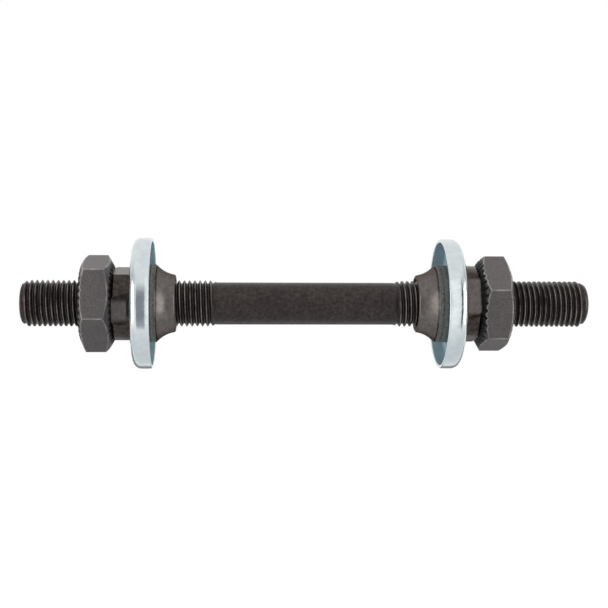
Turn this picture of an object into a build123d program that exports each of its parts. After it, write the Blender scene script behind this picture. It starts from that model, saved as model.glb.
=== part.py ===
from build123d import *
from math import radians, sqrt, tan
import os

# Bicycle hub axle set in millimetres: a threaded axle that carries, on each side, a ground
# bearing cone, a pressed dust cap and a serrated hexagon locknut.
# The axle lies along X with its middle at the origin. +Z is up.

# Axle
axle_length = 116.0
thread_radius = 4.7
shank_radius = 4.3
shank_left = 18.4
shank_right = 17.6
thread_runout = 0.5
end_chamfer = 0.75
left_end_bevel = 0.3
left_end_flat_radius = 2.6
right_end_dome = 0.6

# Running clearance of the bores over the thread crests, and the countersink at each bore
thread_clearance = 0.05
bore_countersink = 0.5

# Bearing cone, measured from its nose outwards
cone_length = 12.4
nose_radius = 5.85
nose_chamfer = 0.25
race_length = 3.85
race_arc_radius = 5.9
cone_radius = 7.9
cone_rear_chamfer = 0.35
flats_width = 13.45
flats_length = 3.9
side_flats_width = 14.6
side_flats_length = 3.0
flats_cutter = 40.0

# Dust cap, a cup of sheet steel that is open towards the middle
cap_radius = 13.3
cap_depth = 3.9
cap_sheet = 0.7
cap_corner_radius = 1.7
left_cap_from_nut = 3.85
right_cap_from_nut = 3.6

# Locknut
nut_across_flats = 17.5
nut_thickness = 6.65
nut_rim_radius = 7.6
inner_chamfer_angle = 30.0
outer_chamfer_angle = 25.0
tooth_count = 36
tooth_depth = 0.45
tooth_land = 0.12
groove_overlap = 1.3

# Places along the axle, measured outwards from its middle
left_nose = 26.75
right_nose = 22.3

# Turn of each piece on the axle, in degrees from straight up towards the front
left_flats_turn = 11.7
right_flats_turn = 75.9
left_nut_turn = 47.9
right_nut_turn = 74.0

# Worked out from the sizes above
half_length = axle_length / 2
end_face_radius = thread_radius - end_chamfer
dome_radius = (end_face_radius**2 + right_end_dome**2) / (2 * right_end_dome)
bore_radius = thread_radius + thread_clearance
bore_mouth_radius = bore_radius + bore_countersink
nut_corner_radius = nut_across_flats / sqrt(3)
half_pitch = 180 / tooth_count
left_nut_face = left_nose + cone_length
right_nut_face = right_nose + cone_length
LEFT = -1
RIGHT = 1


def cross_plane(x, facing):
    """Plane square to the axle at x, facing left or right, with its own x axis straight up."""
    return Plane(origin=(x, 0, 0), x_dir=(0, 0, 1), z_dir=(facing, 0, 0))


def profile_plane(x, facing):
    """Plane through the axle's line: its x axis runs along the axle, its y axis is the radius."""
    return Plane(origin=(x, 0, 0), x_dir=(facing, 0, 0), z_dir=(0, -facing, 0))


def bearing_cone(side, nose, flats_turn):
    """Turned cone: its ground race rises from the nose to the cylinder that holds the cap."""
    with BuildPart() as cone:
        with BuildSketch(profile_plane(side * nose, side)):
            with BuildLine():
                race = RadiusArc((0, nose_radius), (race_length, cone_radius), -race_arc_radius)
                Polyline(
                    race @ 1,
                    (cone_length - cone_rear_chamfer, cone_radius),
                    (cone_length, cone_radius - cone_rear_chamfer),
                    (cone_length, bore_mouth_radius),
                    (cone_length - bore_countersink, bore_radius),
                    (bore_countersink, bore_radius),
                    (0, bore_mouth_radius),
                    race @ 0,
                )
            profile = make_face()
            nose_corner = profile.vertices().group_by(Axis.X)[0].sort_by(Axis.Y)[-1]
            chamfer(nose_corner, nose_chamfer)
        revolve(axis=Axis.X)
        # Wrench flats, milled from the outer end: a deep pair, and a shallow pair square to it
        for width, length, turn in (
            (flats_width, flats_length, flats_turn),
            (side_flats_width, side_flats_length, flats_turn + 90),
        ):
            with BuildSketch(cross_plane(side * (nose + cone_length), side)):
                Circle(flats_cutter / 2)
                Rectangle(width, flats_cutter, rotation=side * turn, mode=Mode.SUBTRACT)
            extrude(amount=-length, mode=Mode.SUBTRACT)
    return cone.part


def dust_cap(side, closed_face):
    """Drawn cup: a flat ring pressed on the cone and a short wall that points to the middle."""
    with BuildPart() as cap:
        with BuildSketch(profile_plane(side * closed_face, side)):
            with BuildLine():
                FilletPolyline(
                    (0, cone_radius),
                    (0, cap_radius),
                    (-cap_depth, cap_radius),
                    radius=cap_corner_radius,
                )
                Line((-cap_depth, cap_radius), (-cap_depth, cap_radius - cap_sheet))
                FilletPolyline(
                    (-cap_depth, cap_radius - cap_sheet),
                    (-cap_sheet, cap_radius - cap_sheet),
                    (-cap_sheet, cone_radius),
                    radius=cap_corner_radius - cap_sheet,
                )
                Line((-cap_sheet, cone_radius), (0, cone_radius))
            make_face()
        revolve(axis=Axis.X)
    return cap.part


def serration_groove(chamfer_angle):
    """Cutter for one V groove in a chamfer. Its planes meet at the tip of the chamfer's cone.

    It lies along +X over a face in the XY plane, with the material below.
    """
    slope = tan(radians(chamfer_angle))
    tip_height = nut_rim_radius * slope
    half_width = tan(radians(half_pitch * (1 - tooth_land)))
    depth = tooth_depth / nut_corner_radius
    with BuildPart() as groove:
        for radius in (bore_radius, nut_corner_radius * groove_overlap):
            with BuildSketch(Plane.YZ.offset(radius)):
                surface = tip_height - radius * slope
                crest = surface + radius * depth * (groove_overlap - 1)
                with BuildLine():
                    Polyline(
                        (0, surface - radius * depth),
                        (radius * half_width * groove_overlap, crest),
                        (-radius * half_width * groove_overlap, crest),
                        close=True,
                    )
                make_face()
        loft(ruled=True)
    return groove.part


def locknut(side, inner_face, nut_turn):
    """Hexagon nut, chamfered at both ends, with V serrations cut into both chamfers."""
    chamfer_reach = nut_corner_radius - nut_rim_radius
    inner_drop = chamfer_reach * tan(radians(inner_chamfer_angle))
    outer_drop = chamfer_reach * tan(radians(outer_chamfer_angle))
    inner_groove = serration_groove(inner_chamfer_angle)
    outer_groove = serration_groove(outer_chamfer_angle)
    with BuildPart() as nut:
        with BuildSketch(cross_plane(side * inner_face, side)):
            RegularPolygon(nut_corner_radius, 6, rotation=side * nut_turn)
        extrude(amount=nut_thickness)
        # The turned outline leaves the two conical chamfers and the bore
        with BuildSketch(profile_plane(side * inner_face, side)):
            with BuildLine():
                Polyline(
                    (bore_countersink, bore_radius),
                    (0, bore_mouth_radius),
                    (0, nut_rim_radius),
                    (inner_drop, nut_corner_radius),
                    (nut_thickness - outer_drop, nut_corner_radius),
                    (nut_thickness, nut_rim_radius),
                    (nut_thickness, bore_mouth_radius),
                    (nut_thickness - bore_countersink, bore_radius),
                    close=True,
                )
            make_face()
        revolve(axis=Axis.X, mode=Mode.INTERSECT)
        # Half a pitch of turn puts the crest of a tooth at each corner of the hexagon
        with Locations(cross_plane(side * inner_face, -side)):
            with PolarLocations(0, tooth_count, start_angle=half_pitch - side * nut_turn):
                add(inner_groove, mode=Mode.SUBTRACT)
        with Locations(cross_plane(side * (inner_face + nut_thickness), side)):
            with PolarLocations(0, tooth_count, start_angle=half_pitch + side * nut_turn):
                add(outer_groove, mode=Mode.SUBTRACT)
    return nut.part


# Axle: threaded ends at the thread's crest radius and a plain shank between them. Both ends are
# chamfered. The left one is bevelled to a small flat, the right one is slightly domed.
with BuildPart() as axle:
    with BuildSketch(Plane.XZ):
        with BuildLine():
            outline = Polyline(
                (-half_length, 0),
                (-half_length, left_end_flat_radius),
                (-half_length + left_end_bevel, end_face_radius),
                (-half_length + left_end_bevel + end_chamfer, thread_radius),
                (-shank_left - thread_runout, thread_radius),
                (-shank_left, shank_radius),
                (shank_right, shank_radius),
                (shank_right + thread_runout, thread_radius),
                (half_length - right_end_dome - end_chamfer, thread_radius),
                (half_length - right_end_dome, end_face_radius),
            )
            RadiusArc(outline @ 1, (half_length, 0), dome_radius)
            Line((half_length, 0), outline @ 0)
        make_face()
    revolve(axis=Axis.X)

with BuildPart() as left_cone:
    add(bearing_cone(LEFT, left_nose, left_flats_turn))

with BuildPart() as right_cone:
    add(bearing_cone(RIGHT, right_nose, right_flats_turn))

with BuildPart() as left_dust_cap:
    add(dust_cap(LEFT, left_nut_face - left_cap_from_nut))

with BuildPart() as right_dust_cap:
    add(dust_cap(RIGHT, right_nut_face - right_cap_from_nut))

with BuildPart() as left_locknut:
    add(locknut(LEFT, left_nut_face, left_nut_turn))

with BuildPart() as right_locknut:
    add(locknut(RIGHT, right_nut_face, right_nut_turn))

os.makedirs("parts", exist_ok=True)
for name, piece in {
    "axle": axle,
    "left_cone": left_cone,
    "right_cone": right_cone,
    "left_dust_cap": left_dust_cap,
    "right_dust_cap": right_dust_cap,
    "left_locknut": left_locknut,
    "right_locknut": right_locknut,
}.items():
    piece.part.label = name
    export_step(piece.part, f"parts/{name}.step")
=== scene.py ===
from math import atan2, cos, floor, hypot, pi, radians, sin, sqrt, tan

import bmesh
import bpy
from mathutils import Matrix, Vector


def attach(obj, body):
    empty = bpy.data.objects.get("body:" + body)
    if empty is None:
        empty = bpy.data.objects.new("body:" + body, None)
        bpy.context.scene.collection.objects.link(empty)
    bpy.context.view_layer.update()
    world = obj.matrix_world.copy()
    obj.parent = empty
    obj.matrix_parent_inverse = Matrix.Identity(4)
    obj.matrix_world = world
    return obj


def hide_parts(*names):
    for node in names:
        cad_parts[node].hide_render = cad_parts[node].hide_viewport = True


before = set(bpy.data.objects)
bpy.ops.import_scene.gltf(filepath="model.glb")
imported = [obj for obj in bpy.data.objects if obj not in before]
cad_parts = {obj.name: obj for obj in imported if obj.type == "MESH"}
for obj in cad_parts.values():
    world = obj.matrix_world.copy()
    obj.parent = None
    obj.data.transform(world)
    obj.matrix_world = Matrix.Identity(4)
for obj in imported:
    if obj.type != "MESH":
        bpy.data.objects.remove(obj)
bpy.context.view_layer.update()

# Threaded axle. One steel rod with a 3/8 inch by 24 thread rolled on both ends and a plain shank
# between them. Both ends are chamfered, the left one to a small flat and the right one to a dome.
# The rod is blackened: near black, satin, paler grey along the thread's crests, partly rubbed and
# partly a painted highlight.
MM = 0.001
LEFT, RIGHT = -1, 1
# The object's sizes are in millimetres, and the studio's are in metres
THREAD_PITCH = 25.4 / 24
CREST, ROOT, SHANK = 4.7, 4.05, 4.3
# Distances from the axle's middle: the shank's two ends, and where each helix stops short of
# the end, which plain rings then close
SHANK_LEFT, SHANK_RIGHT = 18.4, 17.6
HELIX_END = 57.45
# Pitches over which the thread fades into the shank, and spare pitches pressed flat at each end
RUN_OUT, SPARE_PITCHES = 1.2, 2
# Corners round the axle, and the distance within which a piece's corners are welded
AROUND_AXLE = 96
WELD = 0.0005 * MM

# One pitch of the 60 degree thread: share of the pitch from the crest's middle, and the radius.
# Rolling leaves the crest and the root a little rounded
CREST_ROUND, ROOT_ROUND = 0.035, 0.02
THREAD_FORM = [
    (0.0, CREST), (0.05, CREST), (0.085, CREST - CREST_ROUND), (0.42, ROOT + ROOT_ROUND),
    (0.5, ROOT), (0.58, ROOT + ROOT_ROUND), (0.915, CREST - CREST_ROUND), (0.95, CREST),
]
# Where a crest stands at the top of the axle, as a share of the pitch from its middle
CREST_PHASE = {LEFT: 0.36, RIGHT: 0.46}
# Outline of each end, distance from the axle's middle and radius
END_OUTLINE = {
    LEFT: [(58.0, 1.5), (57.94, 2.1), (57.74, 3.4), (57.53, 3.93), (57.33, 4.14), (57.13, 4.23),
           (56.7, 4.5), (56.4, CREST)],
    RIGHT: [(58.0, 1.1), (57.97, 1.8), (57.78, 2.72), (57.57, 3.4), (57.36, 3.85), (57.15, 4.07),
            (56.9, 4.17), (56.5, 4.35), (56.1, CREST)],
}


def at(x, radius, turn):
    """Point in millimetres at a turn in radians, from straight up towards the front."""
    return (x, -radius * sin(turn), radius * cos(turn))


def follow(curve, x):
    """Value of a curve of (x, value) points, whose x falls, at one x."""
    if x >= curve[0][0]:
        return curve[0][1]
    for (x0, v0), (x1, v1) in zip(curve, curve[1:]):
        if x >= x1:
            return v0 + (v1 - v0) * (x0 - x) / (x0 - x1)
    return curve[-1][1]


def add_helix(corners, faces, side, shank_end):
    """Adds the thread of one end: rows of corners round the axle, wound one pitch a turn."""
    samples = len(THREAD_FORM)
    low, high = sorted((side * HELIX_END, side * shank_end))
    first = (floor(low / THREAD_PITCH) - SPARE_PITCHES) * samples
    last = (floor(high / THREAD_PITCH) + SPARE_PITCHES) * samples
    base = len(corners)
    for row in range(first, last + 1):
        share, radius = THREAD_FORM[row % samples]
        for column in range(AROUND_AXLE):
            turn_share = column / AROUND_AXLE
            x = (row // samples + share + CREST_PHASE[side] + turn_share) * THREAD_PITCH
            x = min(max(x, low), high)
            r = min(radius, follow(END_OUTLINE[side], abs(x)))
            fade = min(1.0, abs(x - side * shank_end) / (RUN_OUT * THREAD_PITCH))
            corners.append(at(x, SHANK + (r - SHANK) * fade, 2 * pi * turn_share))
    rows = last - first + 1
    for row in range(rows - 1):
        for column in range(AROUND_AXLE):
            # After a full turn a row meets the one that is a pitch further along
            step = 0 if column + 1 < AROUND_AXLE else samples
            if row + 1 + step >= rows:
                continue
            a = base + row * AROUND_AXLE + column
            b = base + (row + step) * AROUND_AXLE + (column + 1) % AROUND_AXLE
            faces.append((a, a + AROUND_AXLE, b + AROUND_AXLE, b))


def add_rings(corners, faces, rings):
    """Adds plain rings round the axle from (x, radius) points, with faces between them."""
    base = len(corners)
    for x, r in rings:
        corners += [at(x, r, 2 * pi * column / AROUND_AXLE) for column in range(AROUND_AXLE)]
    for ring in range(len(rings) - 1):
        for column in range(AROUND_AXLE):
            a = base + ring * AROUND_AXLE + column
            b = base + ring * AROUND_AXLE + (column + 1) % AROUND_AXLE
            faces.append((a, b, b + AROUND_AXLE, a + AROUND_AXLE))


def solid_piece(name, corners, faces, sharp_from, marks=None):
    """Welded mesh object from corners in millimetres, smooth up to the sharp_from angle.

    Marks are named values for each corner, which the piece's material can read.
    """
    mesh = bpy.data.meshes.new(name)
    mesh.from_pydata([Vector(corner) * MM for corner in corners], [], faces)
    for mark, values in (marks or {}).items():
        mesh.attributes.new(mark, "FLOAT", "POINT").data.foreach_set("value", values)
    form = bmesh.new()
    form.from_mesh(mesh)
    bmesh.ops.remove_doubles(form, verts=form.verts, dist=WELD)
    bmesh.ops.dissolve_degenerate(form, edges=form.edges, dist=WELD)
    bmesh.ops.recalc_face_normals(form, faces=form.faces)
    form.to_mesh(mesh)
    form.free()
    mesh.shade_smooth()
    mesh.set_sharp_from_angle(angle=radians(sharp_from))
    piece = bpy.data.objects.new(name, mesh)
    bpy.context.collection.objects.link(piece)
    return piece


axle_corners, axle_faces = [], []
for side, shank_end in ((LEFT, SHANK_LEFT), (RIGHT, SHANK_RIGHT)):
    add_helix(axle_corners, axle_faces, side, shank_end)
    end_rings = [(side * x, r) for x, r in END_OUTLINE[side] if x > HELIX_END]
    end_rings.append((side * HELIX_END, follow(END_OUTLINE[side], HELIX_END)))
    end_face = len(axle_corners)
    add_rings(axle_corners, axle_faces, end_rings)
    axle_faces.append(tuple(range(end_face, end_face + AROUND_AXLE)))
shank_places = (-SHANK_LEFT, -SHANK_LEFT / 2, 0.0, SHANK_RIGHT / 2, SHANK_RIGHT)
add_rings(axle_corners, axle_faces, [(x, SHANK) for x in shank_places])
threaded_axle = solid_piece("threaded_axle", axle_corners, axle_faces, sharp_from=40)


def linear(hex_colour):
    """Linear colour of an sRGB hex value."""
    channels = [int(hex_colour[i:i + 2], 16) / 255 for i in (1, 3, 5)]
    levels = [c / 12.92 if c <= 0.04045 else ((c + 0.055) / 1.055) ** 2.4 for c in channels]
    return (*levels, 1.0)


def add_node(owner, kind, sockets=None, **settings):
    """Adds a node to a material or world, sets its properties, and sets or links its sockets.

    A Mix node's sockets go by number: 0 is the share, 6 and 7 are the two colours, and 2 and 3
    are the two plain values.
    """
    node = owner.node_tree.nodes.new(kind)
    for name, value in settings.items():
        setattr(node, name, value)
    for name, value in (sockets or {}).items():
        if isinstance(value, bpy.types.NodeSocket):
            owner.node_tree.links.new(value, node.inputs[name])
        else:
            node.inputs[name].default_value = value
    return node


# Blackened steel: black oxide over rolled and drawn steel. To the eye it is near black with a
# brown cast and a soft sheen, paler along the crests of the thread, partly where handling has
# rubbed them and partly as a painted highlight.
blackened_steel = bpy.data.materials.new("blackened_steel")
blackened_steel.use_nodes = True
blackened_steel.node_tree.nodes.clear()
place = add_node(blackened_steel, "ShaderNodeTexCoord").outputs["Object"]
axes = add_node(blackened_steel, "ShaderNodeSeparateXYZ", {0: place})
across = add_node(blackened_steel, "ShaderNodeCombineXYZ",
                  {"Y": axes.outputs["Y"], "Z": axes.outputs["Z"]})
radius = add_node(blackened_steel, "ShaderNodeVectorMath", {0: across.outputs[0]},
                  operation="LENGTH")
# Cloudy tint of the oxide, patches of about 3 mm, broken up by a mottle of about 0.7 mm
clouds = add_node(blackened_steel, "ShaderNodeTexNoise",
                  {"Vector": place, "Scale": 1 / (3 * MM), "Detail": 4.0})
mottle = add_node(blackened_steel, "ShaderNodeTexNoise",
                  {"Vector": place, "Scale": 1 / (0.7 * MM), "Detail": 4.0, "Roughness": 0.65})
mottle_share = add_node(blackened_steel, "ShaderNodeMapRange",
                        {"Value": mottle.outputs[0], "From Min": 0.36, "From Max": 0.64})
clouded = add_node(blackened_steel, "ShaderNodeMix",
                   {0: clouds.outputs[0], 6: linear("#332e2d"), 7: linear("#4f4744")},
                   data_type="RGBA")
oxide = add_node(blackened_steel, "ShaderNodeMix",
                 {0: mottle_share.outputs[0], 6: linear("#2d2726"), 7: clouded.outputs[2]},
                 data_type="RGBA")
# The crests' last 0.1 mm are paler, in patches that follow the same clouds: partly rubbed, partly
# a painted highlight
crest_top = add_node(blackened_steel, "ShaderNodeMapRange",
                  {"Value": radius.outputs["Value"], "From Min": (CREST - 0.1) * MM,
                   "From Max": CREST * MM})
crest_patches = add_node(blackened_steel, "ShaderNodeMapRange",
                       {"Value": clouds.outputs[0], "From Min": 0.34, "From Max": 0.6,
                        "To Max": 0.9})
crest_rub_and_highlight = add_node(blackened_steel, "ShaderNodeMath",
                     {0: crest_top.outputs[0], 1: crest_patches.outputs[0]}, operation="MULTIPLY")
# Painted highlight: the pale crest colour stands partly for rubbing and partly for the light the
# crests catch
oxide_with_crest_rub_and_highlight = add_node(blackened_steel, "ShaderNodeMix",
                        {0: crest_rub_and_highlight.outputs[0], 6: oxide.outputs[2], 7: linear("#968e88")},
                        data_type="RGBA")
# Drawing marks along the rod, 0.12 mm apart and about 4 mm long
drawn = add_node(blackened_steel, "ShaderNodeMapping",
                 {"Vector": place, "Scale": (1 / (4 * MM), 1 / (0.12 * MM), 1 / (0.12 * MM))})
streaks = add_node(blackened_steel, "ShaderNodeTexNoise",
                   {"Vector": drawn.outputs[0], "Scale": 1.0, "Detail": 2.0})
sheen = add_node(blackened_steel, "ShaderNodeMapRange",
                 {"Value": streaks.outputs[0], "From Min": 0.3, "From Max": 0.7,
                  "To Min": 0.3, "To Max": 0.48})
relief = add_node(blackened_steel, "ShaderNodeBump",
                  {"Height": streaks.outputs[0], "Strength": 0.25, "Distance": 0.01 * MM})
surface = add_node(blackened_steel, "ShaderNodeBsdfPrincipled",
                   {"Base Color": oxide_with_crest_rub_and_highlight.outputs[2], "Metallic": 0.75,
                    "Roughness": sheen.outputs[0], "Normal": relief.outputs[0]})
add_node(blackened_steel, "ShaderNodeOutputMaterial", {"Surface": surface.outputs[0]})
threaded_axle.data.materials.append(blackened_steel)
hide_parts("axle")
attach(threaded_axle, "axle")

# Bearing cones. Each is turned from bar, hardened, and its concave race ground for the balls.
# Two deep flats at the outer end take a thin wrench, and two shallow ones stand square to them.
# The race is a satin grey, and the band behind its lip is left rough.
CONE_LENGTH = 12.4
CONE_NOSE = {LEFT: 26.75, RIGHT: 22.3}
CONE_RADIUS = 7.9
NOSE_RADIUS = 5.85
RACE_LENGTH, RACE_ARC, RACE_STEPS = 3.85, 5.9, 18
# The rough band ends under the dust cap, and fades over this length
BAND_END, BAND_FADE = 8.0, 0.05
BORE, BORE_MOUTH, COUNTERSINK = 4.75, 5.25, 0.5
# Broken edges, each point as a step along the cone and a step outwards: from the nose's corner,
# from the race's lip and from the corner of the outer end
NOSE_EDGE = ((0.0, -0.25), (0.07, -0.1), (0.25, 0.03))
LIP_EDGE = ((-0.03, -0.05), (0.05, 0.0), (0.15, 0.0))
REAR_EDGE = ((-0.4, 0.0), (-0.3, -0.06), (-0.04, -0.31), (0.0, -0.4))
# Wrench flats: length from the outer end, distance from the axle's line, and turn from the deep
# pair. Each ends in a step up to the full radius, drawn FLATS_STEP long
DEEP_FLATS = (3.9, 13.45 / 2, 0.0)
SIDE_FLATS = (3.0, 14.6 / 2, 90.0)
FLATS_TURN = {LEFT: 11.7, RIGHT: 75.9}
FLATS_STEP = 0.02
AROUND_CONE = 240


def closed_ring(rows):
    """Corners and faces of a ring-shaped solid from rows of points that close both ways."""
    around = len(rows[0])
    corners = [corner for row in rows for corner in row]
    faces = []
    for i in range(len(rows)):
        a, b = i * around, (i + 1) % len(rows) * around
        for j in range(around):
            k = (j + 1) % around
            faces.append((a + j, b + j, b + k, a + k))
    return corners, faces


def race_arc():
    """Points of the concave race, without its two ends, measured from the nose outwards."""
    rise = CONE_RADIUS - NOSE_RADIUS
    chord = hypot(RACE_LENGTH, rise)
    lift = sqrt(RACE_ARC**2 - (chord / 2) ** 2) / chord
    centre_x = RACE_LENGTH / 2 - rise * lift
    centre_r = (NOSE_RADIUS + CONE_RADIUS) / 2 + RACE_LENGTH * lift
    start = atan2(NOSE_RADIUS - centre_r, -centre_x)
    end = atan2(CONE_RADIUS - centre_r, RACE_LENGTH - centre_x)
    swings = [start + (end - start) * step / RACE_STEPS for step in range(1, RACE_STEPS)]
    return [(centre_x + RACE_ARC * cos(s), centre_r + RACE_ARC * sin(s)) for s in swings]


def bearing_cone(side):
    """Cone mesh, its outline measured from the nose outwards."""
    outline = [(COUNTERSINK, BORE), (0, BORE_MOUTH)]
    outline += [(x, NOSE_RADIUS + out) for x, out in NOSE_EDGE]
    outline += race_arc()
    outline += [(RACE_LENGTH + x, CONE_RADIUS + out) for x, out in LIP_EDGE]
    outline += [(BAND_END - BAND_FADE, CONE_RADIUS), (BAND_END, CONE_RADIUS)]
    for length, _, _ in (DEEP_FLATS, SIDE_FLATS):
        wall = CONE_LENGTH - length
        outline += [(wall - FLATS_STEP / 2, CONE_RADIUS), (wall + FLATS_STEP / 2, CONE_RADIUS)]
    outline += [(CONE_LENGTH + x, CONE_RADIUS + out) for x, out in REAR_EDGE]
    outline += [(CONE_LENGTH, BORE_MOUTH), (CONE_LENGTH - COUNTERSINK, BORE)]
    turns = [2 * pi * j / AROUND_CONE + radians(FLATS_TURN[side]) for j in range(AROUND_CONE)]
    rows, band = [], []
    for x, r in outline:
        row = []
        band += [1.0 if RACE_LENGTH < x < BAND_END else 0.0] * AROUND_CONE
        for turn in turns:
            reach = r
            for length, distance, quarter in (DEEP_FLATS, SIDE_FLATS):
                facing = abs(cos(turn - radians(FLATS_TURN[side] + quarter)))
                if x > CONE_LENGTH - length and facing * reach > distance:
                    reach = distance / facing
            row.append(at(side * (CONE_NOSE[side] + x), reach, turn))
        rows.append(row)
    name = ("left" if side == LEFT else "right") + "_bearing_cone"
    return solid_piece(name, *closed_ring(rows), sharp_from=32, marks={"rough_band": band})


# Hardened steel, ground on the race. The race is a satin grey with grinding rings, and the rest
# is the dark, slightly brown skin of heat treatment over turning marks.
ground_steel = bpy.data.materials.new("ground_and_hardened_steel")
ground_steel.use_nodes = True
ground_steel.node_tree.nodes.clear()
place = add_node(ground_steel, "ShaderNodeTexCoord").outputs["Object"]
axes = add_node(ground_steel, "ShaderNodeSeparateXYZ", {0: place})
across = add_node(ground_steel, "ShaderNodeCombineXYZ",
                  {"Y": axes.outputs["Y"], "Z": axes.outputs["Z"]})
radius = add_node(ground_steel, "ShaderNodeVectorMath", {0: across.outputs[0]},
                  operation="LENGTH")
# Rings round the axle depend on the place along it and on the radius alone. They are drawn about
# 0.3 mm apart, coarser than the real grinding and turning marks, so that they show
ring_place = add_node(ground_steel, "ShaderNodeCombineXYZ",
                      {"X": axes.outputs["X"], "Y": radius.outputs["Value"]})
rings = add_node(ground_steel, "ShaderNodeTexNoise",
                 {"Vector": ring_place.outputs[0], "Scale": 1 / (0.3 * MM), "Detail": 3.0,
                  "Roughness": 0.7})
clouds = add_node(ground_steel, "ShaderNodeTexNoise",
                  {"Vector": place, "Scale": 1 / (2.2 * MM), "Detail": 5.0})
grain = add_node(ground_steel, "ShaderNodeTexNoise",
                 {"Vector": place, "Scale": 1 / (0.25 * MM), "Detail": 3.0})
# The ground part ends in a soft line a little below the race's lip
race_part = add_node(ground_steel, "ShaderNodeMapRange",
                     {"Value": radius.outputs["Value"], "From Min": (CONE_RADIUS - 0.45) * MM,
                      "From Max": (CONE_RADIUS - 0.2) * MM, "To Min": 1.0, "To Max": 0.0})
cloudy_skin = add_node(ground_steel, "ShaderNodeMix",
                       {0: clouds.outputs[0], 6: linear("#3c3734"), 7: linear("#544d49")},
                       data_type="RGBA")
# Brown heat tint in blotches of about 0.8 mm
blotches = add_node(ground_steel, "ShaderNodeTexNoise",
                    {"Vector": place, "Scale": 1 / (0.8 * MM), "Detail": 4.0, "Roughness": 0.65})
blotch_share = add_node(ground_steel, "ShaderNodeMapRange",
                        {"Value": blotches.outputs[0], "From Min": 0.4, "From Max": 0.62,
                         "To Max": 0.9})
skin = add_node(ground_steel, "ShaderNodeMix",
                {0: blotch_share.outputs[0], 6: cloudy_skin.outputs[2], 7: linear("#332b27")},
                data_type="RGBA")
ringed_race = add_node(ground_steel, "ShaderNodeMix",
                       {0: rings.outputs[0], 6: linear("#575250"), 7: linear("#827c7a")},
                       data_type="RGBA")
race_grey = add_node(ground_steel, "ShaderNodeMix",
                     {0: blotch_share.outputs[0], 6: ringed_race.outputs[2],
                      7: linear("#605a56")},
                     data_type="RGBA")
ground_or_skin = add_node(ground_steel, "ShaderNodeMix",
                          {0: race_part.outputs[0], 6: skin.outputs[2], 7: race_grey.outputs[2]},
                          data_type="RGBA")
# The band behind the race's lip is rough: a grainy grey, crossed by the turning rings
band_marks = add_node(ground_steel, "ShaderNodeMath",
                      {0: grain.outputs[0], 1: rings.outputs[0]}, operation="ADD")
band_share = add_node(ground_steel, "ShaderNodeMapRange",
                      {"Value": band_marks.outputs[0], "From Min": 0.75, "From Max": 1.25})
band_grain = add_node(ground_steel, "ShaderNodeMix",
                      {0: band_share.outputs[0], 6: linear("#4a4c4a"), 7: linear("#9a9a96")},
                      data_type="RGBA")
band = add_node(ground_steel, "ShaderNodeAttribute", attribute_name="rough_band")
steel_colour = add_node(ground_steel, "ShaderNodeMix",
                        {0: band.outputs["Fac"], 6: ground_or_skin.outputs[2],
                         7: band_grain.outputs[2]},
                        data_type="RGBA")
skin_sheen = add_node(ground_steel, "ShaderNodeMapRange",
                      {"Value": grain.outputs[0], "From Min": 0.3, "From Max": 0.7,
                       "To Min": 0.17, "To Max": 0.3})
race_sheen = add_node(ground_steel, "ShaderNodeMix",
                      {0: race_part.outputs[0], 2: skin_sheen.outputs[0], 3: 0.38},
                      data_type="FLOAT")
steel_sheen = add_node(ground_steel, "ShaderNodeMix",
                       {0: band.outputs["Fac"], 2: race_sheen.outputs[0], 3: 0.6},
                       data_type="FLOAT")
ring_relief = add_node(ground_steel, "ShaderNodeBump",
                       {"Height": rings.outputs[0], "Strength": 0.35, "Distance": 0.012 * MM})
grain_relief = add_node(ground_steel, "ShaderNodeBump",
                        {"Height": grain.outputs[0], "Strength": 0.3, "Distance": 0.015 * MM,
                         "Normal": ring_relief.outputs[0]})
surface = add_node(ground_steel, "ShaderNodeBsdfPrincipled",
                   {"Base Color": steel_colour.outputs[2], "Metallic": 1.0,
                    "Roughness": steel_sheen.outputs[0], "Normal": grain_relief.outputs[0]})
add_node(ground_steel, "ShaderNodeOutputMaterial", {"Surface": surface.outputs[0]})

# The race has the same colours, but it mirrors less than the skin where it turns away
RACE_EDGE_TINT = (0.42, 0.4, 0.39, 1.0)
ground_race = ground_steel.copy()
ground_race.name = "ground_race_steel"
for node in ground_race.node_tree.nodes:
    if node.type == "BSDF_PRINCIPLED":
        node.inputs["Specular Tint"].default_value = RACE_EDGE_TINT
for side, name in ((LEFT, "left_cone"), (RIGHT, "right_cone")):
    cone = bearing_cone(side)
    cone.data.materials.append(ground_steel)
    cone.data.materials.append(ground_race)
    for face in cone.data.polygons:
        from_nose = abs(face.center.x) / MM - CONE_NOSE[side]
        face.material_index = 1 if from_nose < RACE_LENGTH else 0
    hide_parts(name)
    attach(cone, name)

# Dust caps. Each is a shallow cup drawn from 0.7 mm sheet steel, zinc plated and pressed on its
# cone, open towards the middle. Outside it is bright and slightly blue; inside, painted shade
# makes it dull and greener.
CAP_RADIUS, CAP_DEPTH, CAP_SHEET = 13.3, 3.9, 0.7
CAP_CORNER = 1.7
CAP_FACE = {LEFT: 35.3, RIGHT: 31.1}
# The drawn rim leans in a little: over this length, by this much, in a bend of this radius
RIM_LENGTH, RIM_LEAN, RIM_BEND = 0.8, 0.07, 3.0
# Rounding of the edges of the hole and of the rim
HOLE_EDGE, RIM_EDGE = 0.12, 0.2
FILLET_STEPS = 10
AROUND_CAP = 200
# How far a face's middle may lie off the inside and still be part of it
INSIDE_MARGIN = 0.05


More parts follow.
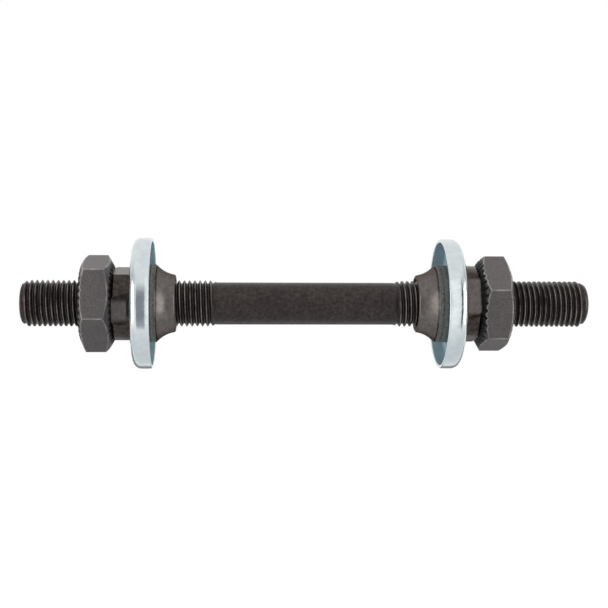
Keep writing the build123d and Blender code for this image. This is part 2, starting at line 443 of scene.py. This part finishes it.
def rounded(corners):
    """Closed outline of (x, radius, fillet) corners, with each fillet drawn as an arc."""
    outline = []
    for i, (x, r, fillet) in enumerate(corners):
        here = Vector((x, r))
        before = (Vector(corners[i - 1][:2]) - here).normalized()
        after = (Vector(corners[(i + 1) % len(corners)][:2]) - here).normalized()
        half = before.angle(after) / 2
        centre = here + (before + after).normalized() * fillet / sin(half)
        start = here + before * fillet / tan(half) - centre
        end = here + after * fillet / tan(half) - centre
        sweep = start.angle_signed(end)
        for step in range(FILLET_STEPS + 1):
            swung = Matrix.Rotation(-sweep * step / FILLET_STEPS, 2) @ start
            outline.append(tuple(centre + swung))
    return outline


def dust_cap(side):
    """Cap mesh, its outline measured inwards from the closed face."""
    outline = rounded([
        (0, CONE_RADIUS, HOLE_EDGE),
        (0, CAP_RADIUS, CAP_CORNER),
        (CAP_DEPTH - RIM_LENGTH, CAP_RADIUS, RIM_BEND),
        (CAP_DEPTH, CAP_RADIUS - RIM_LEAN, RIM_EDGE),
        (CAP_DEPTH, CAP_RADIUS - CAP_SHEET, RIM_EDGE),
        (CAP_SHEET, CAP_RADIUS - CAP_SHEET, CAP_CORNER - CAP_SHEET),
        (CAP_SHEET, CONE_RADIUS, HOLE_EDGE),
    ])
    turns = [2 * pi * j / AROUND_CAP for j in range(AROUND_CAP)]
    rows = [[at(side * (CAP_FACE[side] - x), r, turn) for turn in turns] for x, r in outline]
    name = ("left" if side == LEFT else "right") + "_pressed_cap"
    return solid_piece(name, *closed_ring(rows), sharp_from=35)


# Bright zinc plate on drawn sheet. It is a silvery blue white with soft clouds, faint rings of
# drawing round the rim and a few tiny pits.
zinc_plate = bpy.data.materials.new("bright_zinc_plate")
zinc_plate.use_nodes = True
zinc_plate.node_tree.nodes.clear()
place = add_node(zinc_plate, "ShaderNodeTexCoord").outputs["Object"]
axes = add_node(zinc_plate, "ShaderNodeSeparateXYZ", {0: place})
across = add_node(zinc_plate, "ShaderNodeCombineXYZ",
                  {"Y": axes.outputs["Y"], "Z": axes.outputs["Z"]})
radius = add_node(zinc_plate, "ShaderNodeVectorMath", {0: across.outputs[0]}, operation="LENGTH")
# Clouds of about 3.5 mm, under a weak spangle of about 1.3 mm
clouds = add_node(zinc_plate, "ShaderNodeTexNoise",
                  {"Vector": place, "Scale": 1 / (3.5 * MM), "Detail": 5.0, "Roughness": 0.6})
spangle = add_node(zinc_plate, "ShaderNodeTexNoise",
                   {"Vector": place, "Scale": 1 / (1.3 * MM), "Detail": 3.0})
plate = add_node(zinc_plate, "ShaderNodeMix",
                 {0: clouds.outputs[0], 6: linear("#c6ced1"), 7: linear("#e0e6e7")},
                 data_type="RGBA")
spangle_share = add_node(zinc_plate, "ShaderNodeMapRange",
                         {"Value": spangle.outputs[0], "From Min": 0.35, "From Max": 0.7,
                          "To Max": 0.3})
spangled = add_node(zinc_plate, "ShaderNodeMix",
                    {0: spangle_share.outputs[0], 6: plate.outputs[2], 7: linear("#b9c1c4")},
                    data_type="RGBA")
# Pits about 0.4 mm wide, one in each 9 mm or so
pit_distance = add_node(zinc_plate, "ShaderNodeTexVoronoi",
                        {"Vector": place, "Scale": 1 / (9 * MM)})
pit = add_node(zinc_plate, "ShaderNodeMapRange",
               {"Value": pit_distance.outputs["Distance"], "From Min": 0.012,
                "From Max": 0.03, "To Min": 1.0, "To Max": 0.0})
pitted = add_node(zinc_plate, "ShaderNodeMix",
                  {0: pit.outputs[0], 6: spangled.outputs[2], 7: linear("#2c2c2d")},
                  data_type="RGBA")
plate_sheen = add_node(zinc_plate, "ShaderNodeMapRange",
                       {"Value": spangle.outputs[0], "From Min": 0.3, "From Max": 0.7,
                        "To Min": 0.16, "To Max": 0.23})
# Rings of drawing, 0.5 mm apart, on a sheet that is a little wavy, over about 1.3 mm
ring_place = add_node(zinc_plate, "ShaderNodeCombineXYZ",
                      {"X": axes.outputs["X"], "Y": radius.outputs["Value"]})
rings = add_node(zinc_plate, "ShaderNodeTexNoise",
                 {"Vector": ring_place.outputs[0], "Scale": 1 / (0.5 * MM), "Detail": 2.0})
ring_relief = add_node(zinc_plate, "ShaderNodeBump",
                       {"Height": rings.outputs[0], "Strength": 0.12, "Distance": 0.02 * MM})
wave_relief = add_node(zinc_plate, "ShaderNodeBump",
                       {"Height": spangle.outputs[0], "Strength": 0.6, "Distance": 0.045 * MM,
                        "Normal": ring_relief.outputs[0]})
surface = add_node(zinc_plate, "ShaderNodeBsdfPrincipled",
                   {"Base Color": pitted.outputs[2], "Metallic": 1.0,
                    "Roughness": plate_sheen.outputs[0], "Normal": wave_relief.outputs[0]})
add_node(zinc_plate, "ShaderNodeOutputMaterial", {"Surface": surface.outputs[0]})

# Zinc plate inside the cup, painted with shade: a darker, duller and greener copy of the bright
# plate, a cloudy blue-green grey with a fine grain.
cup_shade_zinc = bpy.data.materials.new("cup_shade_zinc_plate")
cup_shade_zinc.use_nodes = True
cup_shade_zinc.node_tree.nodes.clear()
place = add_node(cup_shade_zinc, "ShaderNodeTexCoord").outputs["Object"]
clouds = add_node(cup_shade_zinc, "ShaderNodeTexNoise",
                  {"Vector": place, "Scale": 1 / (3 * MM), "Detail": 5.0})
grain = add_node(cup_shade_zinc, "ShaderNodeTexNoise",
                 {"Vector": place, "Scale": 1 / (0.4 * MM), "Detail": 3.0})
tint = add_node(cup_shade_zinc, "ShaderNodeMix",
                {0: clouds.outputs[0], 6: linear("#94b0b8"), 7: linear("#b6cfd6")},
                data_type="RGBA")
relief = add_node(cup_shade_zinc, "ShaderNodeBump",
                  {"Height": grain.outputs[0], "Strength": 0.2, "Distance": 0.02 * MM})
surface = add_node(cup_shade_zinc, "ShaderNodeBsdfPrincipled",
                   {"Base Color": tint.outputs[2], "Metallic": 0.3, "Roughness": 0.42,
                    "Normal": relief.outputs[0]})
add_node(cup_shade_zinc, "ShaderNodeOutputMaterial", {"Surface": surface.outputs[0]})

for side, name in ((LEFT, "left"), (RIGHT, "right")):
    cap = dust_cap(side)
    cap.data.materials.append(zinc_plate)
    cap.data.materials.append(cup_shade_zinc)
    # Faces inside the cup take the second material, with its painted shade
    for face in cap.data.polygons:
        depth = CAP_FACE[side] - abs(face.center.x) / MM
        off_axis = hypot(face.center.y, face.center.z) / MM
        in_depth = CAP_SHEET - INSIDE_MARGIN < depth < CAP_DEPTH - 2 * INSIDE_MARGIN
        in_wall = off_axis < CAP_RADIUS - CAP_SHEET + INSIDE_MARGIN
        face.material_index = 1 if in_depth and in_wall else 0
    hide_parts(name + "_dust_cap")
    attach(cap, name + "_cone")

# Locknuts. Each is a hexagon nut with a conical chamfer at both ends, and 36 serrations pressed
# into each chamfer so that it bites and holds its place. The serrations run out towards the
# hexagon. Phosphated: matte dark grey, rubbed paler on its edges.
NUT_FACE = {LEFT: 39.15, RIGHT: 34.7}
NUT_THICKNESS = 6.65
NUT_FLAT, NUT_CORNER = 17.5 / 2, 17.5 / sqrt(3)
NUT_RIM = 7.6
CHAMFER_INNER, CHAMFER_OUTER = 30.0, 25.0
NUT_TURN = {LEFT: 47.9, RIGHT: 74.0}
TEETH, TOOTH_DEPTH, TOOTH_RUNOUT = 36, 0.45, 0.8
# Radius at which the serrations have run out, on the inner and on the outer end
SERRATED_TO = {LEFT: (8.6, 9.1), RIGHT: (9.5, 8.3)}
# Rounding of the hexagon's corners, and of the rim between the flat face and the chamfer
EDGE_BREAK, RIM_SOFTNESS = 0.22, 0.04
# Painted shade darkens the face up to this radius
SHADED_TO = {LEFT: 8.5, RIGHT: 9.0}
# The hexagon's corners are rubbed this far to both sides, in degrees
CORNER_WEAR = 1.3

# Places of the mesh. Turns, in degrees: steps in a tooth, and lines close to each corner
TOOTH_STEPS = 12
CORNER_LINES = (0.0, 0.35, 0.7, 1.05, 1.6)
# Rings on the flat face and on the start of the chamfer, then steps to the hexagon's edge
FACE_RINGS = (BORE_MOUTH, 5.6, 6.2, 6.6, 6.8, 6.95, 7.1, 7.25, 7.4, 7.55, 7.7)
CHAMFER_STEPS = 10
# Rings over the rounded edge: inset from the hexagon's side, sink below the chamfer, and wear.
# Within this inset they are rubbed at the corners too, and get no painted shade
EDGE_RINGS = ((0.26, 0.0, 0.0), (0.1, 0.0, 0.35), (0.03, 0.025, 1.0), (0.0, 0.1, 0.7),
              (0.0, 0.24, 0.0))
RUBBED_INSET = 0.1


def from_corner(turn):
    """Turn to the nearest corner of the hexagon."""
    return abs((turn + pi / 6) % (pi / 3) - pi / 6)


def hexagon_radius(turn):
    """Radius of the hexagon with rounded corners, at a turn from one of its corners."""
    off = from_corner(turn)
    middle = (NUT_FLAT - EDGE_BREAK) / cos(pi / 6)
    if off < atan2(EDGE_BREAK * sin(pi / 6), middle + EDGE_BREAK * cos(pi / 6)):
        return middle * cos(off) + sqrt(EDGE_BREAK**2 - (middle * sin(off)) ** 2)
    return NUT_FLAT / cos(pi / 6 - off)


def groove_share(radius, turn, serrated_to):
    """Depth of the serration at a place, as a share of a full groove's."""
    across = 1 - abs(cos(turn * TEETH / 2))
    return across * min(1.0, max(0.0, (serrated_to - radius) / TOOTH_RUNOUT))


def serrated_face(radius, turn, chamfer, serrated_to):
    """How far the serrated end lies below the nut's flat face, at a radius and a turn."""
    groove = TOOTH_DEPTH * radius / NUT_CORNER * groove_share(radius, turn, serrated_to)
    drop = (radius - NUT_RIM) * tan(radians(chamfer)) + groove
    return (drop + sqrt(drop**2 + RIM_SOFTNESS**2)) / 2


def serrated_end(side, chamfer, serrated_to):
    """Rings of one end of the nut, from the bore to the hexagon's side.

    Each ring is a function that gives, for a turn, the depth below the flat face, the radius,
    the wear and the painted shade.
    """
    def on_face(turn, r):
        # Painted shade: full towards the bore, fading over the run-out, and in the grooves
        bore_shade = min(1.0, (SHADED_TO[side] - r) / TOOTH_RUNOUT)
        shaded = max(0.0, bore_shade, groove_share(r, turn, serrated_to))
        return serrated_face(r, turn, chamfer, serrated_to), r, 0.0, shaded

    def on_chamfer(turn, share):
        reach = hexagon_radius(turn) - EDGE_RINGS[0][0] - FACE_RINGS[-1]
        return on_face(turn, FACE_RINGS[-1] + reach * share)

    def on_edge(turn, inset, sink, worn):
        r = hexagon_radius(turn) - inset
        shaded = groove_share(r, turn, serrated_to)
        if inset < RUBBED_INSET:
            worn = max(worn, 1.0 - from_corner(turn) / radians(CORNER_WEAR))
            shaded = 0.0
        return serrated_face(r, turn, chamfer, serrated_to) + sink, r, worn, shaded

    rings = [lambda turn: (COUNTERSINK, BORE, 0.0, 0.0)]
    for r in FACE_RINGS:
        rings.append(lambda turn, r=r: on_face(turn, r))
    for step in range(1, CHAMFER_STEPS):
        rings.append(lambda turn, share=step / CHAMFER_STEPS: on_chamfer(turn, share))
    for ring in EDGE_RINGS:
        rings.append(lambda turn, ring=ring: on_edge(turn, *ring))
    return rings


def locknut(side):
    """Nut mesh, its outline measured from the inner face outwards."""
    turns = {round(360 / TEETH / TOOTH_STEPS * j, 3) for j in range(TEETH * TOOTH_STEPS)}
    for corner in range(6):
        for line in CORNER_LINES:
            turns |= {round((60 * corner + line) % 360, 3), round((60 * corner - line) % 360, 3)}
    turns = [radians(turn) for turn in sorted(turns)]
    inner_to, outer_to = SERRATED_TO[side]
    inner_end = serrated_end(side, CHAMFER_INNER, inner_to)
    outer_end = serrated_end(side, CHAMFER_OUTER, outer_to)
    # Each ring with the face that its depth is taken from, and the way into the nut from there
    rings = [(ring, 0, 1) for ring in inner_end]
    rings += [(ring, NUT_THICKNESS, -1) for ring in reversed(outer_end)]
    rows, wear, painted_shade = [], [], []
    for ring, face, inwards in rings:
        row = []
        for turn in turns:
            depth, r, worn, shaded = ring(turn)
            x = NUT_FACE[side] + face + inwards * depth
            row.append(at(side * x, r, turn + radians(NUT_TURN[side])))
            wear.append(worn)
            painted_shade.append(shaded)
        rows.append(row)
    name = ("left" if side == LEFT else "right") + "_serrated_nut"
    marks = {"worn": wear, "painted_shade": painted_shade}
    return solid_piece(name, *closed_ring(rows), sharp_from=24, marks=marks)


# Phosphated steel: a skin of fine crystals. To the eye it is a matte dark grey with a grain, a
# little cloudy, paler where its edges are rubbed, with painted shade that turns it black down in
# the serrations and towards the bore.
phosphated_steel = bpy.data.materials.new("phosphated_steel")
phosphated_steel.use_nodes = True
phosphated_steel.node_tree.nodes.clear()
place = add_node(phosphated_steel, "ShaderNodeTexCoord").outputs["Object"]
clouds = add_node(phosphated_steel, "ShaderNodeTexNoise",
                  {"Vector": place, "Scale": 1 / (2.2 * MM), "Detail": 5.0, "Roughness": 0.6})
# The crystals are about 0.02 mm wide, drawn 0.28 mm wide so that they show
crystals = add_node(phosphated_steel, "ShaderNodeTexNoise",
                    {"Vector": place, "Scale": 1 / (0.28 * MM), "Detail": 4.0,
                     "Roughness": 0.7})
crystal_share = add_node(phosphated_steel, "ShaderNodeMapRange",
                         {"Value": crystals.outputs[0], "From Min": 0.38, "From Max": 0.68,
                          "To Max": 0.85})
skin = add_node(phosphated_steel, "ShaderNodeMix",
                {0: clouds.outputs[0], 6: linear("#403b3c"), 7: linear("#5f5a5b")},
                data_type="RGBA")
grained = add_node(phosphated_steel, "ShaderNodeMix",
                   {0: crystal_share.outputs[0], 6: skin.outputs[2], 7: linear("#716b6b")},
                   data_type="RGBA")
# Rubbed edges, stronger in some patches than in others
worn = add_node(phosphated_steel, "ShaderNodeAttribute", attribute_name="worn")
wear_patches = add_node(phosphated_steel, "ShaderNodeMapRange",
                        {"Value": clouds.outputs[0], "From Min": 0.38, "From Max": 0.6,
                         "To Min": 0.25})
rub = add_node(phosphated_steel, "ShaderNodeMath",
               {0: worn.outputs["Fac"], 1: wear_patches.outputs[0]}, operation="MULTIPLY")
rubbed_skin = add_node(phosphated_steel, "ShaderNodeMix",
                       {0: rub.outputs[0], 6: grained.outputs[2], 7: linear("#b3afab")},
                       data_type="RGBA")
# Painted shade: black down in the serrations and over the face towards the bore
painted_shade = add_node(phosphated_steel, "ShaderNodeAttribute", attribute_name="painted_shade")
painted_shade_share = add_node(phosphated_steel, "ShaderNodeMapRange",
                       {"Value": painted_shade.outputs["Fac"], "From Min": 0.1, "From Max": 0.75,
                        "To Max": 0.92})
shaded_skin = add_node(phosphated_steel, "ShaderNodeMix",
                     {0: painted_shade_share.outputs[0], 6: rubbed_skin.outputs[2],
                      7: linear("#0d0b0b")},
                     data_type="RGBA")
relief = add_node(phosphated_steel, "ShaderNodeBump",
                  {"Height": crystals.outputs[0], "Strength": 0.35, "Distance": 0.02 * MM})
surface = add_node(phosphated_steel, "ShaderNodeBsdfPrincipled",
                   {"Base Color": shaded_skin.outputs[2], "Metallic": 0.0, "Roughness": 0.45,
                    "Specular IOR Level": 0.32, "Normal": relief.outputs[0]})
add_node(phosphated_steel, "ShaderNodeOutputMaterial", {"Surface": surface.outputs[0]})
for side, name in ((LEFT, "left_locknut"), (RIGHT, "right_locknut")):
    nut = locknut(side)
    nut.data.materials.append(phosphated_steel)
    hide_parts(name)
    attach(nut, name)

# Studio. A pale floor some way below the axle, which is held by its end, a white surround that
# shows behind it and in the metal, a wide soft lamp above and weaker ones in front and at the
# sides. Dim cards stand where the room is darker: the metal shows them, and the camera doesn't.
FLOOR_DROP, FLOOR_REACH = 0.27, 4.0
# Strength of the floor's glow, which makes it white to the eye, and of the light from around
FLOOR_GLOW, SURROUND_LIGHT = 0.82, 0.55
WHITE = (1.0, 1.0, 1.0, 1.0)


def sees_white(owner):
    """One for a ray that shows the surroundings: to the camera, in metal or through glass."""
    rays = add_node(owner, "ShaderNodeLightPath")
    straight_or_mirrored = add_node(
        owner, "ShaderNodeMath",
        {0: rays.outputs["Is Camera Ray"], 1: rays.outputs["Is Glossy Ray"]}, operation="MAXIMUM")
    return add_node(
        owner, "ShaderNodeMath",
        {0: straight_or_mirrored.outputs[0], 1: rays.outputs["Is Transmission Ray"]},
        operation="MAXIMUM").outputs[0]


floor_corners = [(x * FLOOR_REACH, y * FLOOR_REACH, -FLOOR_DROP)
                 for x, y in ((-1, -1), (1, -1), (1, 1), (-1, 1))]
floor_mesh = bpy.data.meshes.new("studio_floor")
floor_mesh.from_pydata(floor_corners, [], [(0, 1, 2, 3)])
studio_floor = bpy.data.objects.new("studio_floor", floor_mesh)
bpy.context.collection.objects.link(studio_floor)
pale_floor = bpy.data.materials.new("pale_floor")
pale_floor.use_nodes = True
pale_floor.node_tree.nodes.clear()
matte = add_node(pale_floor, "ShaderNodeBsdfDiffuse", {"Color": linear("#b6b6b5")})
glow = add_node(pale_floor, "ShaderNodeEmission", {"Color": WHITE, "Strength": FLOOR_GLOW})
lit_floor = add_node(pale_floor, "ShaderNodeAddShader", {0: matte.outputs[0], 1: glow.outputs[0]})
floor_mix = add_node(pale_floor, "ShaderNodeMixShader",
                     {0: sees_white(pale_floor), 1: matte.outputs[0], 2: lit_floor.outputs[0]})
add_node(pale_floor, "ShaderNodeOutputMaterial", {"Surface": floor_mix.outputs[0]})
studio_floor.data.materials.append(pale_floor)

studio = bpy.data.worlds.new("studio")
bpy.context.scene.world = studio
studio.use_nodes = True
studio.node_tree.nodes.clear()
level = add_node(studio, "ShaderNodeMapRange",
                 {"Value": sees_white(studio), "To Min": SURROUND_LIGHT, "To Max": 1.0})
surround = add_node(studio, "ShaderNodeBackground",
                    {"Color": WHITE, "Strength": level.outputs[0]})
add_node(studio, "ShaderNodeOutputWorld", {"Surface": surround.outputs[0]})

# Lamps: name, place, width and height in metres, and power in watts. The overhead one is left
# out of the reflections, where it would glare
for name, spot, width, height, power in (
    ("overhead_lamp", (-0.1, -0.1, 0.8), 1.0, 0.8, 2.7),
    ("front_lamp", (0.25, -0.75, 0.2), 0.5, 0.9, 0.3),
    ("left_lamp", (-0.6, -0.22, 0.02), 0.4, 0.5, 1.5),
    ("right_lamp", (0.6, -0.22, 0.02), 0.4, 0.5, 1.8),
):
    lamp_data = bpy.data.lights.new(name, "AREA")
    lamp_data.shape = "RECTANGLE"
    lamp_data.size, lamp_data.size_y = width, height
    lamp_data.energy = power
    lamp = bpy.data.objects.new(name, lamp_data)
    lamp.location = spot
    lamp.rotation_euler = (-lamp.location).to_track_quat("-Z", "Y").to_euler()
    lamp.visible_glossy = name != "overhead_lamp"
    bpy.context.collection.objects.link(lamp)


def add_card(name, columns, colour):
    """Card of one brightness, which shows in the metal and nowhere else.

    Its corners come in columns of equal length, each as a place and how much the card hides of
    what is behind it there.
    """
    height = len(columns[0])
    corners = [corner for column in columns for corner, _ in column]
    faces = []
    for column in range(len(columns) - 1):
        for row in range(height - 1):
            corner = column * height + row
            faces.append((corner, corner + 1, corner + height + 1, corner + height))
    card_mesh = bpy.data.meshes.new(name)
    card_mesh.from_pydata(corners, [], faces)
    covers = [hidden for column in columns for _, hidden in column]
    card_mesh.attributes.new("cover", "FLOAT", "POINT").data.foreach_set("value", covers)
    card_paint = bpy.data.materials.new(name + "_paint")
    card_paint.use_nodes = True
    card_paint.node_tree.nodes.clear()
    paint = add_node(card_paint, "ShaderNodeEmission", {"Color": linear(colour), "Strength": 1.0})
    clear = add_node(card_paint, "ShaderNodeBsdfTransparent")
    cover = add_node(card_paint, "ShaderNodeAttribute", attribute_name="cover")
    soft_paint = add_node(card_paint, "ShaderNodeMixShader",
                          {0: cover.outputs["Fac"], 1: clear.outputs[0], 2: paint.outputs[0]})
    add_node(card_paint, "ShaderNodeOutputMaterial", {"Surface": soft_paint.outputs[0]})
    card_mesh.materials.append(card_paint)
    card = bpy.data.objects.new(name, card_mesh)
    card.visible_camera = False
    card.visible_diffuse = False
    card.visible_shadow = False
    bpy.context.collection.objects.link(card)


# A curved card fades out above this share of its top, and is drawn in this many steps
CARD_FADE, CARD_STEPS = 0.4, 24
# Curved cards: name, middle, distance, first and last direction in degrees to the right of
# straight ahead, top, colour, and the share of its width over which each edge fades out
for name, middle, distance, first, last, top, colour, fade in (
    ("room_card", -0.034, 0.3, -26, 7, 0.21, "#8d8f97", 0.25),
    ("edge_card", 0.029, 0.3, 19, 40, 0.32, "#101016", 0.05),
    ("left_side_card", 0.0, 0.9, -110, -45, 0.9, "#bebebe", 0.1),
    ("right_side_card", 0.0, 0.9, 45, 110, 0.9, "#bebebe", 0.1),
):
    columns = []
    for step in range(CARD_STEPS + 1):
        share = step / CARD_STEPS
        swing = radians(first + (last - first) * share)
        x, y = middle + distance * sin(swing), -distance * cos(swing)
        hidden = min(1.0, share / fade, (1 - share) / fade)
        columns.append([((x, y, -FLOOR_DROP), hidden), ((x, y, CARD_FADE * top), hidden),
                        ((x, y, top), 0.0)])
    add_card(name, columns, colour)

# Cards below the axle, seen only in what faces down: name, colour, and rows of the distance
# behind the axle and of how much the card hides there
LOW_CARD_DROP, LOW_CARD_REACH = 0.15, 0.35
for name, colour, rows in (
    ("low_card", "#e4e7ea", ((-0.26, 0.0), (-0.07, 0.85), (0.09, 1.0), (0.18, 0.0))),
    ("low_back_card", "#87898b", ((0.09, 0.0), (0.18, 1.0), (0.6, 1.0))),
):
    columns = [[((x, y, -LOW_CARD_DROP), hidden) for x in (-LOW_CARD_REACH, LOW_CARD_REACH)]
               for y, hidden in rows]
    add_card(name, columns, colour)

# Camera. It stands level with the axle, a little to the left of its middle and about 25 cm away,
# and looks at the axle's middle.
CAMERA_DISTANCE = 0.2479
SENSOR_WIDTH = 36.0
# Focal length, and the picture's width that it goes with, in pixels
FOCAL_PIXELS, PICTURE_PIXELS = 1210, 608
aim = Vector((-0.00063, 0, -0.00008))
yaw, lift, roll = radians(3.3), radians(0.3), radians(0.13)
across_view = Vector((cos(yaw), -sin(yaw), 0))
into_view = Vector((sin(yaw) * cos(lift), cos(yaw) * cos(lift), -sin(lift)))
up_view = across_view.cross(into_view)
right_axis = cos(roll) * across_view + sin(roll) * up_view
up_axis = cos(roll) * up_view - sin(roll) * across_view
camera_data = bpy.data.cameras.new("camera")
camera_data.sensor_width = SENSOR_WIDTH
camera_data.lens = SENSOR_WIDTH * FOCAL_PIXELS / PICTURE_PIXELS
camera_data.clip_start = 0.01
camera = bpy.data.objects.new("camera", camera_data)
basis = Matrix((right_axis, up_axis, -into_view)).transposed().to_4x4()
camera.matrix_world = Matrix.Translation(aim - CAMERA_DISTANCE * into_view) @ basis
bpy.context.collection.objects.link(camera)
bpy.context.scene.camera = camera
bpy.context.scene.view_settings.view_transform = "Standard"
